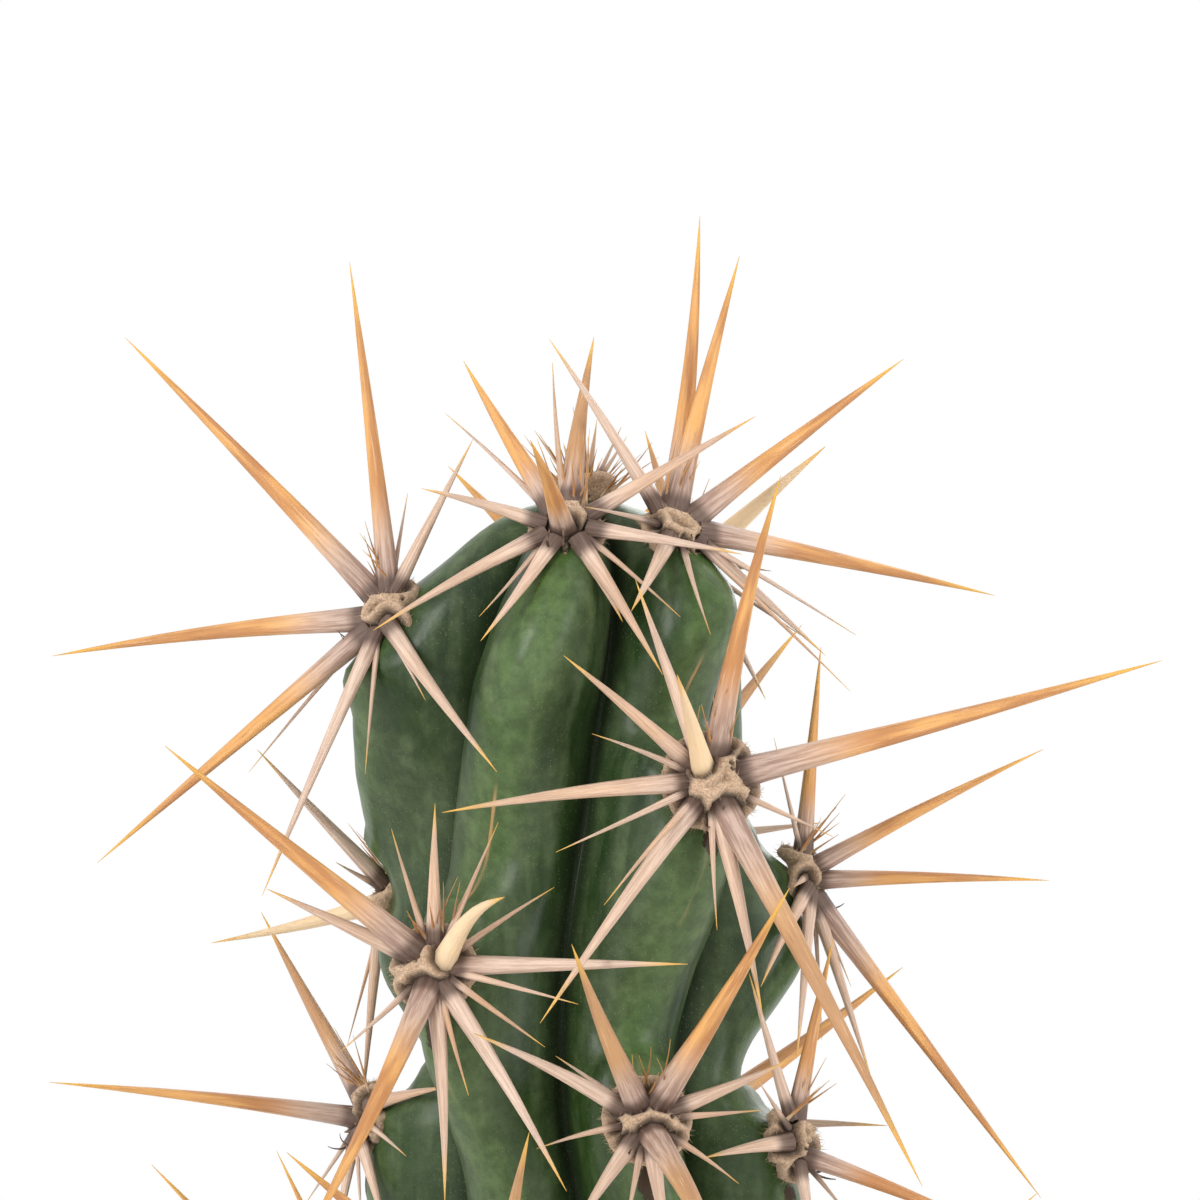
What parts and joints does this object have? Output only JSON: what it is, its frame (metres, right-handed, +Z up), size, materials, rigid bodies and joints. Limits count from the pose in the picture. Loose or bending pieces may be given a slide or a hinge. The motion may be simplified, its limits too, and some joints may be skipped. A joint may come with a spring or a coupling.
{
  "type": "potted columnar cactus",
  "caption": "Tall ribbed columnar cactus with clusters of long stout spines, standing in soil in a plain round clay pot.",
  "frame": {"origin": "middle of the pot's flat underside", "axes": "+Z up along the stem; -Y is the side that the stem's most even face looks to, and +X is to the right of someone facing it"},
  "size_m": [0.1484, 0.1503, 0.4486],
  "materials": {
    "clay": "matte",
    "soil": "matte",
    "skin": "satin",
    "spine": "satin"
  },
  "bodies": {
    "root": {"pot": "clay", "potting_soil": "soil", "stem": "skin", "spines_a1": "spine", "spines_a2": "spine", "spines_a3": "spine", "spines_a4": "spine", "spines_a5": "spine", "spines_a6": "spine", "spines_a7": "spine", "spines_b1": "spine", "spines_b2": "spine", "spines_b3": "spine", "spines_b4": "spine", "spines_b5": "spine", "spines_b6": "spine", "spines_b7": "spine", "spines_c1": "spine", "spines_c2": "spine", "spines_c3": "spine", "spines_c4": "spine", "spines_c5": "spine", "spines_c6": "spine", "spines_c7": "spine", "spines_d1": "spine", "spines_d2": "spine", "spines_d3": "spine", "spines_d4": "spine", "spines_d5": "spine", "spines_d6": "spine", "spines_d7": "spine", "spines_e1": "spine", "spines_e2": "spine", "spines_e3": "spine", "spines_e4": "spine", "spines_e5": "spine", "spines_e6": "spine", "spines_e7": "spine", "spines_crown": "spine"}
  },
  "joints": []
}
